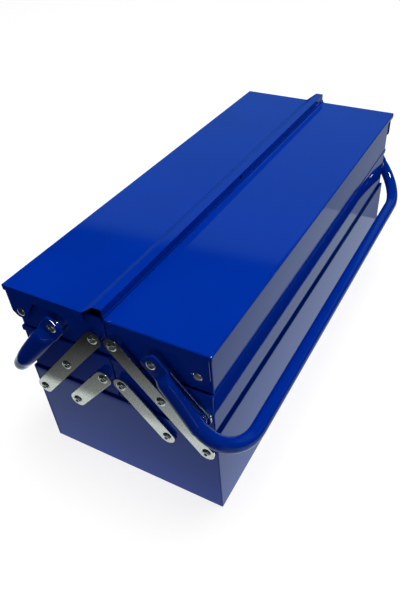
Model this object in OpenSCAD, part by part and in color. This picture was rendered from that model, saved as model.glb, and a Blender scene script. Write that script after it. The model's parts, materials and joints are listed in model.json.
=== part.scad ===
// Five-tray cantilever tool box.
// A deep base carries two pairs of stacked trays on flat links. Each pair swings
// outward as a parallelogram, and each upper tray carries a lid and a tube handle.
// X runs along the length, Z is up and the seam between the halves lies at Y = 0.
// The front half (-Y) mirrors the rear half (+Y), apart from the lids at the seam.

/* [Sheet metal] */
// Thickness of all folded sheet
sheet = 0.8; // [0.6:0.1:1.2]
// Height that each tray sits above what lies under it
stack_gap = 0.3; // [0.3:0.1:1]
// Gap between the front and the rear trays
seam_gap = 2; // [1:0.5:4]

/* [Lids] */
// Length of both lids
lid_len = 530; // [430:1:650]
// Width from the seam plane to the outer edge of a lid
lid_half_w = 112.5; // [100:0.5:135]
// Depth of the hem along the outer long edge
lid_hem_h = 6; // [4:0.5:8]
// Depth of the flange over each end
lid_flange_h = 12; // [9:0.5:14]
// Length cut out of the end flange beside the seam
lid_notch = 3; // [2:0.5:6]
// Distance from the hem's outer face to the end flange's outer edge
lid_corner_gap = 2.9; // [2:0.1:4]
// Space between the upper tray's rim and the underside of its lid
lid_room = 4.2; // [3.5:0.1:7]

/* [Lid ears] */
// Depth of the pivot ear below the lid's top face
ear_drop = 36.6; // [35:0.1:40]
// Width of the ear where it leaves the flange
ear_top_w = 31.2; // [28:0.1:36]
// Width along the bottom edge of the ear
ear_bottom_w = 9.2; // [8:0.1:12]
// Corner cut at the outer bottom of the ear
ear_chamfer = 6; // [4:0.5:8]
// Distance of the lid pivot from the outer edge of the lid
lid_pivot_edge = 15; // [14:0.5:18]
// Distance of the lid pivot below the lid's top face
lid_pivot_drop = 28.3; // [28:0.1:30]

/* [Ridge over the seam] */
// Height of the hollow ridge above the lids
ridge_h = 11; // [8:0.5:15]
// Reach of the ridge over the front half
ridge_over = 6; // [4:0.5:9]
// Width of the flat top of the ridge
ridge_flat = 10; // [7:0.5:14]
// Width of the sloping flank on the rear lid
ridge_ramp = 14; // [8:0.5:20]
// Height of the drop face's lower edge above the lids
ridge_lift = 1; // [1:0.5:3]
// Gap between the drop face and the front lid's lip
lip_gap = 1; // [0.8:0.1:2]
// Height of the front lid's lip
lip_h = 2; // [1:0.5:4]
// Diameter of the padlock hole in the drop face
lock_hole_d = 5; // [4:0.5:6]

/* [Base] */
// Height of the base
base_h = 118; // [105:1:160]
// Base end face, inward of the lid's end
base_inset_x = 1; // [1:0.1:2]
// Base long side, inward of the lid's outer edge
base_inset_y = 2; // [1.5:0.1:4]
// Width of the ledge folded inward at the rim
ledge_w = 6; // [5:0.5:10]
// Outer radius of the folded bottom edges
base_fold_r = 2.5; // [1.5:0.5:5]

/* [Trays] */
// Height of the lower trays
lower_h = 56.9; // [54:0.1:75]
// Height of the upper trays
upper_h = 45.5; // [45:0.1:47]
// Lower tray end wall, inward of the lid's end
lower_inset_x = 3.5; // [3:0.1:5]
// Upper tray end wall, inward of the lid's end
upper_inset_x = 5.5; // [4.5:0.1:7]
// Lower tray outer wall, inward of the lid's outer edge
lower_inset_y = 4.7; // [4:0.1:5]
// Upper tray outer wall, inward of the lid's outer edge
upper_inset_y = 4; // [3.8:0.1:5]
// Height of the rolled hem at a tray's rim
tray_hem_h = 5; // [3:0.5:7]
// Projection of the hem on the long side
tray_hem_y = 2.4; // [1.5:0.1:2.4]
// Projection of the hem on the ends
tray_hem_x = 1.2; // [0.8:0.1:1.8]

/* [Dividers] */
// Drop of a divider's top edge below its tray's rim
divider_drop = 8; // [5:1:15]
// Width of a divider's foot on the tray floor
divider_foot = 9; // [6:1:14]
// Compartments in each lower tray
lower_bays = 2; // [2:1:4]
// Compartments in each upper tray
upper_bays = 3; // [2:1:5]

/* [Links] */
// Width of the links
link_w = 17.5; // [15:0.5:20]
// Thickness of the links
link_t = 2; // [1.5:0.1:3]
// Gap between the lid's end flange and the inner face of the links
link_gap = 0.3; // [0.3:0.1:1]
// Distance of the outer base pivot from the base's long side
pivot_edge = 11.2; // [10:0.1:14]
// Distance of the innermost pivots from the seam plane
pivot_seam = 10.7; // [10.6:0.1:13]
// Height of the lower tray's pivots above its floor
pivot_h = 27.4; // [20:0.1:32]
// How much nearer to its floor the upper tray's pivots lie
pivot_cut = 5; // [2:0.1:8]

/* [Rivets] */
// Diameter of the rivet shanks
rivet_d = 6; // [5:0.5:7]
// Diameter of the domed rivet heads
head_d = 10; // [9:0.5:12]
// Height of the domed rivet heads
head_h = 1.8; // [1.2:0.1:2]
// Diameter of the flatter lid pivot heads
lid_head_d = 9.4; // [8.5:0.1:11]
// Height of the lid pivot heads
lid_head_h = 1.2; // [0.8:0.1:1.6]
// Thickness of the clinched end inside each wall
tail_h = 1.5; // [1:0.1:2]
// Diameter of the spacers and washers
washer_d = 13; // [12:0.5:15]
// Radial clearance of a running pivot
fit = 0.05; // [0.02:0.01:0.1]
// Radial clearance of the pivots that close each linkage
loop_fit = 0.3; // [0.2:0.05:0.5]
// Axial play on each face of a turning piece
play = 0.1; // [0.05:0.05:0.2]

/* [Handles] */
// Outer diameter of the handle tube
tube_d = 15; // [12:0.5:18]
// Wall of the handle tube
tube_wall = 1.2; // [1:0.1:2]
// Distance from the handle pivot to the middle of the bar
handle_reach = 124; // [122:1:135]
// Centreline radius of the bends
bend_r = 50; // [35:1:55]
// Angle of the hanging arms below the horizontal
handle_angle = 49.5; // [40:0.5:50]
// Thickness of the flattened arm ends
flat_t = 3; // [2.5:0.1:4]
// Width of the flattened arm ends
flat_w = 22.5; // [20:0.5:24]
// Length of the flat end beyond the pivot
flat_end = 8; // [7:0.5:12]
// Length of the flat part before the arm grows round
flat_run = 12; // [9:0.5:18]
// Thickness of the washer between link and arm
arm_washer_t = 0.5; // [0.5:0.1:1.5]
// Tube axis, outward of the flattened end's inner face
arm_offset = 9.9; // [9.6:0.1:13]

/* [Hidden] */
$fn = 64;
eps = 0.01;

// Levels
lower_z = base_h + stack_gap;
upper_z = lower_z + lower_h + stack_gap;
lid_under = upper_z + upper_h + lid_room;
lid_top = lid_under + sheet;

// Half lengths and half widths of the walls' outer faces
lid_hx = lid_len / 2;
base_hx = lid_hx - base_inset_x;
lower_hx = lid_hx - lower_inset_x;
upper_hx = lid_hx - upper_inset_x;
base_hy = lid_half_w - base_inset_y;
lower_hy = lid_half_w - lower_inset_y;
upper_hy = lid_half_w - upper_inset_y;

// Pivots as [y, z] on the rear half: one grid of equal steps
pitch_y = (base_hy - pivot_edge - pivot_seam) / 2;
pitch_z = lower_h + stack_gap - pivot_cut;
row_z = [for (i = [-1:1]) lower_z + pivot_h + i * pitch_z];
col_y = [for (i = [0:2]) pivot_seam + i * pitch_y];
long_base = [col_y[2], row_z[0]];
long_lower = [col_y[1], row_z[1]];
long_upper = [col_y[0], row_z[2]];
short_base = [col_y[1], row_z[0]];
short_lower = [col_y[0], row_z[1]];
arm_lower = [col_y[2], row_z[1]];
arm_upper = [col_y[1], row_z[2]];
lid_pivot = [lid_half_w - lid_pivot_edge, lid_top - lid_pivot_drop];

// Layers outward from the lid's end
link_x = lid_hx + link_gap;
link_out = link_x + link_t;
arm_x = link_out + play + arm_washer_t + play;
tube_x = arm_x + arm_offset;

// Ridge and lip at the seam
ridge_foot = ridge_flat - ridge_over + ridge_ramp;
lip_y = ridge_over + lip_gap;

blue = [0.02, 0.09, 0.52];
zinc = [0.78, 0.79, 0.80];

// Placing
module front() {
  mirror([0, 1, 0]) children();
}
module left() {
  mirror([1, 0, 0]) children();
}
module both_ends() {
  children();
  left() children();
}
module both_sides() {
  children();
  front() children();
}

// Box given by its low and high corners
module block(low, high) {
  translate(low) cube(high - low);
}
// Cylinder along X at p = [y, z]
module rod(p, x0, x1, r) {
  translate([x0, p[0], p[1]]) rotate([0, 90, 0]) cylinder(h = x1 - x0, r = r);
}
module ring(p, x0, x1, r, bore_r) {
  difference() {
    rod(p, x0, x1, r);
    rod(p, x0 - 1, x1 + 1, bore_r);
  }
}
// Profile drawn in Y and Z, extruded along X
module along_x(x0, x1) {
  translate([x0, 0, 0]) rotate([90, 0, 90]) linear_extrude(x1 - x0) children();
}

// Rivet through a wall, turned about its own axis: clinched end, shank and dome
module rivet(p, wall_x, head_x, d, h) {
  dome_r = (d * d / 4 + h * h) / (2 * h);
  dome_a = asin(d / 2 / dome_r);
  run = head_x - wall_x + tail_h;
  steps = 8;
  dome = [
    for (i = [0:steps - 1]) let (a = dome_a * (1 - i / steps))
      [dome_r * sin(a), run + h - dome_r * (1 - cos(a))]
  ];
  translate([wall_x - tail_h, p[0], p[1]]) rotate([0, 90, 0]) rotate_extrude() polygon(concat(
    [
      [0, 0],
      [rivet_d * 0.75, 0],
      [rivet_d * 0.75, tail_h],
      [rivet_d / 2, tail_h],
      [rivet_d / 2, run]
    ],
    dome,
    [[0, run + h]]
  ));
}
module rivet_holes(points, hx) {
  for (p = points) {
    rod(p, hx - 2 * sheet, hx + sheet, rivet_d / 2 + fit);
  }
}

// Base: folded shell with a ledge turned inward at the rim
module base_outline(inset) {
  r = base_fold_r - inset;
  half = base_hy - inset;
  for (s = [-1, 1]) translate([s * (half - r), inset + r]) circle(r = r);
  translate([-(half - r), inset]) square([2 * (half - r), base_h - 2 * inset]);
  translate([-half, inset + r]) square([2 * half, base_h - 2 * inset - r]);
}
module base_box() {
  color(blue) difference() {
    along_x(-base_hx, base_hx) base_outline(0);
    along_x(-(base_hx - sheet), base_hx - sheet) base_outline(sheet);
    block(
      [-(base_hx - ledge_w), -(base_hy - ledge_w), base_h - 2 * sheet],
      [base_hx - ledge_w, base_hy - ledge_w, base_h + 1]
    );
    both_sides() both_ends() rivet_holes([long_base, short_base], base_hx);
  }
}
module base_rivets() {
  color(zinc) both_sides() both_ends() for (p = [long_base, short_base])
    rivet(p, base_hx - sheet, link_out + play, head_d, head_h);
}
module base_washers() {
  color(zinc) both_sides() both_ends() for (p = [long_base, short_base])
    ring(p, base_hx, link_x - play, washer_d / 2, rivet_d / 2 + fit);
}

// Tray: open folded box with a rolled hem on its outer rim
module tray(hx, hy, z0, h) {
  y0 = seam_gap / 2;
  top = z0 + h;
  difference() {
    union() {
      block([-hx, y0, z0], [hx, hy, top]);
      block(
        [-(hx + tray_hem_x), y0, top - tray_hem_h],
        [hx + tray_hem_x, hy + tray_hem_y, top]
      );
    }
    block([-(hx - sheet), y0 + sheet, z0 + sheet], [hx - sheet, hy - sheet, top + 1]);
    both_ends() children();
  }
}
module lower_tray() {
  color(blue) tray(lower_hx, lower_hy, lower_z, lower_h)
    rivet_holes([long_lower, short_lower, arm_lower], lower_hx);
}
module upper_tray() {
  color(blue) tray(upper_hx, upper_hy, upper_z, upper_h)
    rivet_holes([long_upper, arm_upper, lid_pivot], upper_hx);
}

// Dividers: folded plates with a foot, evenly spaced
module dividers(bays, hx, hy, z0, h) {
  bay = 2 * (hx - sheet) / bays;
  low = z0 + sheet;
  y0 = seam_gap / 2 + sheet;
  y1 = hy - sheet;
  color(blue) for (i = [1:bays - 1]) {
    x = -(hx - sheet) + i * bay;
    block([x - sheet / 2, y0, low], [x + sheet / 2, y1, z0 + h - divider_drop]);
    block([x - sheet / 2, y0, low], [x - sheet / 2 + divider_foot, y1, low + sheet]);
  }
}
module lower_dividers() {
  dividers(lower_bays, lower_hx, lower_hy, lower_z, lower_h);
}
module upper_dividers() {
  dividers(upper_bays, upper_hx, upper_hy, upper_z, upper_h);
}

// Pivot hardware of the trays
module lower_rivets() {
  color(zinc) both_ends() for (p = [long_lower, short_lower, arm_lower])
    rivet(p, lower_hx - sheet, link_out + play, head_d, head_h);
}
module upper_rivets() {
  color(zinc) both_ends() {
    rivet(long_upper, upper_hx - sheet, link_out + play, head_d, head_h);
    rivet(arm_upper, upper_hx - sheet, arm_x + flat_t + play, head_d, head_h);
  }
}
module lower_spacers() {
  color(zinc) both_ends() for (p = [long_lower, short_lower, arm_lower])
    ring(p, lower_hx, link_x - play, washer_d / 2, rivet_d / 2 + fit);
}
module upper_spacers() {
  color(zinc) both_ends() for (p = [long_upper, arm_upper])
    ring(p, upper_hx, link_x - play, washer_d / 2, rivet_d / 2 + fit);
}
module arm_washers() {
  color(zinc) both_ends()
    ring(arm_upper, link_out + play, arm_x - play, washer_d / 2, rivet_d / 2 + fit);
}
module lid_rivets() {
  color(zinc) both_ends()
    rivet(lid_pivot, upper_hx - sheet, lid_hx + play, lid_head_d, lid_head_h);
}
module lid_spacers() {
  color(zinc) both_ends()
    ring(lid_pivot, upper_hx, lid_hx - sheet - play, washer_d / 2, rivet_d / 2 + fit);
}

// End flange of a lid with its pivot ear, from inner_y to the outer corner
module lid_flange(inner_y) {
  outer = lid_half_w - lid_corner_gap;
  ear_low = lid_top - ear_drop;
  ear_in = outer - ear_top_w;
  difference() {
    along_x(lid_hx - sheet, lid_hx) polygon([
      [inner_y, lid_top - lid_flange_h],
      [ear_in, lid_top - lid_flange_h],
      [outer - ear_chamfer - ear_bottom_w, ear_low],
      [outer - ear_chamfer, ear_low],
      [outer, ear_low + ear_chamfer],
      [outer, lid_top - lid_hem_h],
      [lid_half_w, lid_top - lid_hem_h],
      [lid_half_w, lid_top],
      [inner_y, lid_top]
    ]);
    rod(lid_pivot, lid_hx - 2 * sheet, lid_hx + sheet, rivet_d / 2 + fit);
  }
}
module lid_plate(inner_y) {
  block([-lid_hx, inner_y, lid_under], [lid_hx, lid_half_w, lid_top]);
  block(
    [-lid_hx, lid_half_w - sheet, lid_top - lid_hem_h],
    [lid_hx, lid_half_w, lid_top]
  );
}
module lid_front() {
  color(blue) front() {
    lid_plate(lip_y);
    block([-lid_hx, lip_y, lid_under], [lid_hx, lip_y + sheet, lid_top + lip_h]);
    both_ends() lid_flange(lip_y + lid_notch);
  }
}
// Section of the ridge: foot, sloping flank, flat top and drop face
module ridge_section() {
  top = lid_top + ridge_h;
  crest = ridge_flat - ridge_over;
  polygon([
    [ridge_foot + sheet, lid_under],
    [ridge_foot + sheet, lid_top],
    [ridge_foot, lid_top],
    [crest, top],
    [-ridge_over, top],
    [-ridge_over, lid_top + ridge_lift],
    [-ridge_over + sheet, lid_top + ridge_lift],
    [-ridge_over + sheet, top - sheet],
    [crest - sheet / 2, top - sheet],
    [ridge_foot - sheet / 2, lid_under]
  ]);
}
module lid_rear() {
  color(blue) {
    lid_plate(ridge_foot);
    both_ends() lid_flange(ridge_foot);
    difference() {
      along_x(-lid_hx, lid_hx) ridge_section();
      translate([0, -ridge_over - 1, lid_top + ridge_lift + (ridge_h - ridge_lift) / 2])
        rotate([-90, 0, 0]) cylinder(h = 2 + sheet, d = lock_hole_d);
    }
  }
}

// Flat link with round ends from pivot a to pivot b; holes lists [distance from a, radius]
module link(a, b, holes) {
  run = norm(b - a);
  tilt = atan2(b[1] - a[1], b[0] - a[0]);
  color(zinc) translate([0, a[0], a[1]]) rotate([tilt, 0, 0])
    along_x(link_x, link_out) difference() {
      union() {
        circle(d = link_w);
        translate([run, 0]) circle(d = link_w);
        translate([0, -link_w / 2]) square([run, link_w]);
      }
      for (hole = holes) translate([hole[0], 0]) circle(r = hole[1]);
    }
}
module long_link() {
  step = norm(long_lower - long_base);
  link(long_base, long_upper, [for (i = [0:2]) [i * step, rivet_d / 2 + fit]]);
}
module short_link() {
  step = norm(short_lower - short_base);
  link(short_base, short_lower, [[0, rivet_d / 2 + fit], [step, rivet_d / 2 + loop_fit]]);
}
module upper_link() {
  step = norm(arm_upper - arm_lower);
  link(arm_lower, arm_upper, [[0, rivet_d / 2 + fit], [step, rivet_d / 2 + loop_fit]]);
}

// Handle: bent tube, drawn with the pivot at the origin and the arms along +Y
module handle_bend(r) {
  translate([tube_x - bend_r, handle_reach - bend_r, 0])
    rotate_extrude(angle = 90) translate([bend_r, 0]) circle(r = r);
}
module handle_arm() {
  hull() {
    block([arm_x, flat_run - eps, -flat_w / 2], [arm_x + flat_t, flat_run, flat_w / 2]);
    translate([tube_x, handle_reach - bend_r, 0]) rotate([90, 0, 0])
      cylinder(h = eps, d = tube_d, $fn = 32);
  }
  block([arm_x, -flat_end, -flat_w / 2], [arm_x + flat_t, flat_run, flat_w / 2]);
}
module handle_bar(r, half) {
  translate([-half, handle_reach, 0]) rotate([0, 90, 0]) cylinder(h = 2 * half, r = r);
}
module handle() {
  bar_half = tube_x - bend_r;
  color(blue) translate([0, arm_upper[0], arm_upper[1]]) rotate([-handle_angle, 0, 0])
    difference() {
      union() {
        handle_bar(tube_d / 2, bar_half);
        both_ends() {
          handle_bend(tube_d / 2);
          handle_arm();
        }
      }
      handle_bar(tube_d / 2 - tube_wall, bar_half);
      both_ends() handle_bend(tube_d / 2 - tube_wall);
      both_ends() rod([0, 0], arm_x - 1, arm_x + flat_t + 1, rivet_d / 2 + fit);
    }
}

base_box();
base_rivets();
base_washers();
front() lower_tray();  // lower_tray_front
lower_tray();  // lower_tray_rear
front() upper_tray();  // upper_tray_front
upper_tray();  // upper_tray_rear
front() lower_dividers();  // lower_dividers_front
lower_dividers();  // lower_dividers_rear
front() upper_dividers();  // upper_dividers_front
upper_dividers();  // upper_dividers_rear
front() lower_rivets();  // lower_rivets_front
lower_rivets();  // lower_rivets_rear
front() upper_rivets();  // upper_rivets_front
upper_rivets();  // upper_rivets_rear
front() lower_spacers();  // lower_spacers_front
lower_spacers();  // lower_spacers_rear
front() upper_spacers();  // upper_spacers_front
upper_spacers();  // upper_spacers_rear
front() lid_rivets();  // lid_rivets_front
lid_rivets();  // lid_rivets_rear
front() lid_spacers();  // lid_spacers_front
lid_spacers();  // lid_spacers_rear
front() arm_washers();  // arm_washers_front
arm_washers();  // arm_washers_rear
lid_front();
lid_rear();
front() handle();  // handle_front
handle();  // handle_rear
left() front() long_link();  // long_link_front_left
front() long_link();  // long_link_front_right
left() long_link();  // long_link_rear_left
long_link();  // long_link_rear_right
left() front() short_link();  // short_link_front_left
front() short_link();  // short_link_front_right
left() short_link();  // short_link_rear_left
short_link();  // short_link_rear_right
left() front() upper_link();  // upper_link_front_left
front() upper_link();  // upper_link_front_right
left() upper_link();  // upper_link_rear_left
upper_link();  // upper_link_rear_right
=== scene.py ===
"""Cantilever tool box: folded shells, swinging trays, flat links and tube handles."""

import json
import math

import bmesh
import bpy
from bpy.props import FloatProperty, FloatVectorProperty, IntProperty, PointerProperty
from mathutils import Matrix, Vector


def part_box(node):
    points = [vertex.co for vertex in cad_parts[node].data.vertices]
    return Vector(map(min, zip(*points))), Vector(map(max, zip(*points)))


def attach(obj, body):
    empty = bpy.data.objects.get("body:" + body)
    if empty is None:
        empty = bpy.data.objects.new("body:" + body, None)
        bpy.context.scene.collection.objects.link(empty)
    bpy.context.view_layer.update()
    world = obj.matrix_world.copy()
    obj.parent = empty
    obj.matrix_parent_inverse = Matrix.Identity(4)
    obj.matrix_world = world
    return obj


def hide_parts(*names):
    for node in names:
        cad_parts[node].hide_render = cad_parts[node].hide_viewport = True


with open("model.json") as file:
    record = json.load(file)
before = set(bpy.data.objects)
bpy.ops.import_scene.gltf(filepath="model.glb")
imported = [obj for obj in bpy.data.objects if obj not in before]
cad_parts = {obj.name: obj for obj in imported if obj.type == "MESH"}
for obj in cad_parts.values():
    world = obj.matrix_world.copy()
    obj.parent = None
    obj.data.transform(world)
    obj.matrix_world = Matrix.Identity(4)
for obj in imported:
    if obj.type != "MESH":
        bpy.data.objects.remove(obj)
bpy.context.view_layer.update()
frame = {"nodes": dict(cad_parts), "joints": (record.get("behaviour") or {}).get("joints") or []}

bl_info = {
    "name": "Cantilever tool box",
    "version": (1, 0, 0),
    "blender": (4, 5, 0),
    "location": "View3D > Sidebar > Tool box",
    "description": "Models a five-tray cantilever tool box around its construction frame",
    "category": "Object",
}

MM = 0.001
SLACK = 0.01 * MM  # two places closer than this count as the same
DOUBLES = 0.001 * MM  # points closer than this are merged
FLAT = 0.0001 * MM  # a span below this isn't stretched
PLAY = 0.1 * MM  # between a link or arm and the rivet head over it
LAP_SINK = 0.1 * MM  # how deep a lap reaches into the end's sheet
LOCK_DRILL = 4 * MM
EAR_DRILL = 6 * MM
DRILL_OVER = 2 * MM  # how much longer a drill is than a link is thick
QUARTER = math.pi / 2
X, Y, Z = range(3)
SIDES = {"front": -1, "rear": 1}
ENDS = {"left": -1, "right": 1}

# Angles between faces from which an edge counts as a fold, and as a square fold
SLIGHT_FOLD = 0.3
SQUARE_FOLD = 1.0

# Edges up to this many degrees are shaded smooth
SHEET_SHADING = 40
RIVET_SHADING = 32
TUBE_SHADING = 35

ROUND_SIDES = 32  # of rivets and drills
LINK_SIDES = 48
BEND_STEPS = 14
FOLD_STEPS = 4
LEVEL = 0.9  # least upward part of the normal of a face that lies level

PIVOTS = {joint["name"]: Vector(joint["pos_m"]) for joint in frame["joints"]}
NODES = frame["nodes"]


def length(name, description, default_mm, low_mm=0.0, high_mm=1000.0):
    """A length property with its default in millimetres."""
    return FloatProperty(
        name=name,
        description=description,
        default=default_mm * MM,
        min=low_mm * MM,
        max=high_mm * MM,
        unit="LENGTH",
        subtype="DISTANCE",
        precision=5,
    )


def colour(name, description, default):
    """A colour property without alpha."""
    return FloatVectorProperty(
        name=name, description=description, default=default, min=0, max=1, size=3, subtype="COLOR"
    )


class ToolBoxSheet(bpy.types.PropertyGroup):
    """Sizes of the folded sheet-metal pieces"""

    thickness: length("Sheet thickness", "Thickness of all folded sheet", 0.8, 0.5, 1.5)
    fold: length("Fold radius", "Outer radius of a folded edge", 1.3, 0.9, 3)
    base_fold: length("Base fold radius", "Outer radius of the base's folds", 1.0, 0.9, 4)
    cut_edge: length("Cut edge radius", "Softening of the cut edges of the sheet", 0.15, 0.05, 0.3)
    ledge: length("Base ledge", "Width of the ledge turned inward at the base's rim", 6, 4, 12)
    lap: length("Base lap", "Width of the strip folded round each corner of the base", 3.2, 2, 12)
    lap_height: length("Lap height", "How far the lap stands out of the end", 0.25, 0.1, 0.6)
    hem_height: length("Hem height", "Height of the rolled hem at a tray's rim", 5, 3, 8)
    hem_room: length("Room for the hem", "Long wall to the tray's outermost line", 2.4, 1.2, 3)
    hem_y: length("Hem on the sides", "Projection of the hem on the long side", 1.2, 0.8, 2.4)
    hem_x: length("Hem on the ends", "Projection of the hem on the ends", 1.2, 0.6, 2)
    hem_round: length("Hem rounding", "Rounding of the rolled hem", 1.0, 0.3, 1.2)
    seam_bend: length("Seam bend", "Radius of a tray's upright bends beside the seam", 4, 1, 6)
    shallow_fold: length("Shallow fold", "Rounding of the folds along the ridge", 0.4, 0.1, 1)
    low_rim: length("Lowered rim", "How far the line between the trays is lowered", 2, 0, 4)
    divider_foot: length("Divider foot", "Width of a divider's foot", 9, 5, 15)


class ToolBoxLid(bpy.types.PropertyGroup):
    """Sizes of the two lids, their pivot ears and the ridge over the seam"""

    fold: length("Lid fold radius", "Outer radius of the folds round the lids", 1.9, 0.9, 3)
    hem: length("Hem depth", "Depth of the hem along the outer long edge", 6, 3, 10)
    flange: length("Flange depth", "Depth of the flange over each end", 12, 8, 16)
    notch: length("Flange notch", "Length cut out of the front flange beside the seam", 3, 1, 8)
    corner_gap: length("Corner gap", "Hem's outer face to the flange's outer edge", 2.9, 2, 5)
    ear_top: length("Ear top width", "Width of the ear where it leaves the flange", 31.2, 25, 40)
    ear_bottom: length("Ear bottom width", "Width of the ear's bottom edge", 9.2, 6, 14)
    ear_chamfer: length("Ear chamfer", "Corner cut at the outer bottom of the ear", 6, 2, 9)
    ear_round: length("Ear rounding", "Rounding of the ear's lower corners", 1.6, 0.5, 3)
    ridge: length("Ridge height", "Height of the hollow ridge above the lids", 11, 6, 18)
    ridge_over: length("Ridge overlap", "Reach of the ridge over the front half", 6, 3, 10)
    ridge_flat: length("Ridge top", "Width of the flat top of the ridge", 10, 6, 16)
    ridge_ramp: length("Ridge flank", "Width of the sloping flank", 14, 6, 24)
    ridge_lift: length("Drop face lift", "Height of the drop face's edge above the lids", 3, 0.5, 5)
    lip: length("Lip height", "Height of the front lid's lip", 3.2, 1, 5)
    lock_hole: length("Padlock hole", "Diameter of the hole in the drop face", 5, 3, 8)


class ToolBoxHardware(bpy.types.PropertyGroup):
    """Sizes of the links, rivets and handle tubes"""

    link_width: length("Link width", "Width of the flat links", 17.5, 12, 25)
    link_round: length("Link rounding", "Rounding of the links' stamped edges", 0.35, 0.1, 0.8)
    shank: length("Rivet shank", "Diameter of the rivet shanks", 6, 4, 8)
    bore: length("Pivot bore", "Diameter of the pivot holes", 6.1, 4, 9)
    head: length("Rivet head", "Diameter of the domed rivet heads", 10, 8, 14)
    head_height: length("Rivet head height", "Height of the domed rivet heads", 1.8, 1, 3)
    dimple: length("Rivet dimple", "Diameter of the hollow in the rivet heads", 4, 2, 6)
    lid_head: length("Lid rivet head", "Diameter of the flatter lid rivets", 9.4, 7, 12)
    lid_head_height: length("Lid rivet height", "Height of the lid rivets", 1.2, 0.6, 2)
    tail: length("Clinched end", "Thickness of the clinched rivet end", 1.5, 1, 2.5)
    tube: length("Handle tube", "Outer diameter of the handle tube", 16, 10, 22)
    bend: length("Handle bend", "Centreline radius of the handle's bends", 50, 30, 60)
    reach: length("Handle reach", "Pivot to the middle of the bar", 123.2, 100, 150)
    flat_width: length("Flat end width", "Width of the flattened arm ends", 22.5, 16, 28)
    flat_thickness: length("Flat end thickness", "Thickness of the flattened ends", 3, 2, 5)
    flat_end: length("Flat end", "Length of the flat end beyond the pivot", 8, 6, 14)
    flat_run: length("Flat run", "Length of the flat part before the arm thickens", 12, 8, 20)
    flat_corner: length("Flat end corner", "Corner radius of the flat end", 5, 1, 8)
    tube_gap: length("Tube gap", "Gap between the links and the round tube", 1.3, 0.3, 4)
    angle: FloatProperty(
        name="Handle angle",
        description="Angle of the hanging arms below the horizontal",
        default=math.radians(49.5),
        min=0.5,
        max=1.2,
        unit="ROTATION",
        subtype="ANGLE",
    )
    sides: IntProperty(
        name="Tube sides",
        description="Flats round the handle tube",
        default=32,
        min=16,
        max=64,
        step=8,
    )


class ToolBoxFinish(bpy.types.PropertyGroup):
    """Colours of the finishes"""

    enamel: colour("Enamel", "Blue gloss enamel on sheet and handles", (0.0, 0.027, 0.335))
    zinc: colour("Zinc", "Zinc plating of the links", (0.95, 0.87, 0.80))
    rivet: colour("Rivet", "Bright plating of the rivets", (0.92, 0.88, 0.86))


class ToolBoxSettings(bpy.types.PropertyGroup):
    """All settings of the tool box"""

    sheet: PointerProperty(type=ToolBoxSheet)
    lid: PointerProperty(type=ToolBoxLid)
    hardware: PointerProperty(type=ToolBoxHardware)
    finish: PointerProperty(type=ToolBoxFinish)


# Selecting and shaping


def only(*objects):
    """Leaves edit mode and selects only these objects; the first becomes active."""
    if bpy.context.object and bpy.context.object.mode != "OBJECT":
        bpy.ops.object.mode_set(mode="OBJECT")
    bpy.ops.object.select_all(action="DESELECT")
    for obj in objects:
        obj.select_set(True)
    if objects:
        bpy.context.view_layer.objects.active = objects[0]


def edit(obj):
    """Opens obj alone in edit mode with everything selected."""
    only(obj)
    bpy.ops.object.mode_set(mode="EDIT")
    bpy.ops.mesh.select_all(action="SELECT")


def named(obj, name):
    """Leaves edit mode and gives the object and its mesh this name."""
    only(obj)
    obj.name = name
    obj.data.name = name
    return obj


def settle(name):
    """Names the new active object and puts its origin at the world's origin."""
    obj = named(bpy.context.object, name)
    bpy.ops.object.transform_apply(location=True, rotation=True, scale=True)
    return obj


def block(name, low, high):
    """Cube that fills the box from low to high."""
    only()
    low, high = Vector(low), Vector(high)
    bpy.ops.mesh.primitive_cube_add(size=1, location=(low + high) / 2)
    bpy.context.object.scale = high - low
    return settle(name)


def sheet_blank(name, low, high):
    """Flat blank facing up, from corner low to corner high."""
    only()
    low, high = Vector(low), Vector(high)
    bpy.ops.mesh.primitive_plane_add(size=1, location=(low + high) / 2)
    bpy.context.object.scale = (high.x - low.x, high.y - low.y, 1)
    return settle(name)


def disc(name, centre, radius, sides, turn=0.0, fill="NGON"):
    """Circle round the X axis through centre."""
    only()
    bpy.ops.mesh.primitive_circle_add(
        vertices=sides,
        radius=radius,
        fill_type=fill,
        location=centre,
        rotation=(Matrix.Rotation(turn, 3, "X") @ Matrix.Rotation(QUARTER, 3, "Y")).to_euler(),
    )
    return settle(name)


def centre_of(part):
    """Middle of a vertex, edge or face."""
    if isinstance(part, bmesh.types.BMVert):
        return part.co.copy()
    return sum((v.co for v in part.verts), Vector()) / len(part.verts)


def choose(obj, kind, test):
    """Selects only the vertices, edges or faces of obj that pass test(part, centre)."""
    bpy.ops.mesh.select_mode(type=kind)
    bpy.ops.mesh.select_all(action="DESELECT")
    mesh = bmesh.from_edit_mesh(obj.data)
    parts = {"VERT": mesh.verts, "EDGE": mesh.edges, "FACE": mesh.faces}[kind]
    chosen = [part for part in parts if test(part, centre_of(part))]
    if not chosen:
        raise RuntimeError(f"{obj.name}: nothing to select")
    for part in chosen:
        part.select_set(True)
    mesh.select_flush_mode()
    bmesh.update_edit_mesh(obj.data)


def near(value, target, slack=SLACK):
    """True where two values are closer than slack."""
    return abs(value - target) < slack


def lies_at(edge, axis, value):
    """True where both ends of the edge are at value along the axis."""
    return all(near(vert.co[axis], value) for vert in edge.verts)


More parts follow.
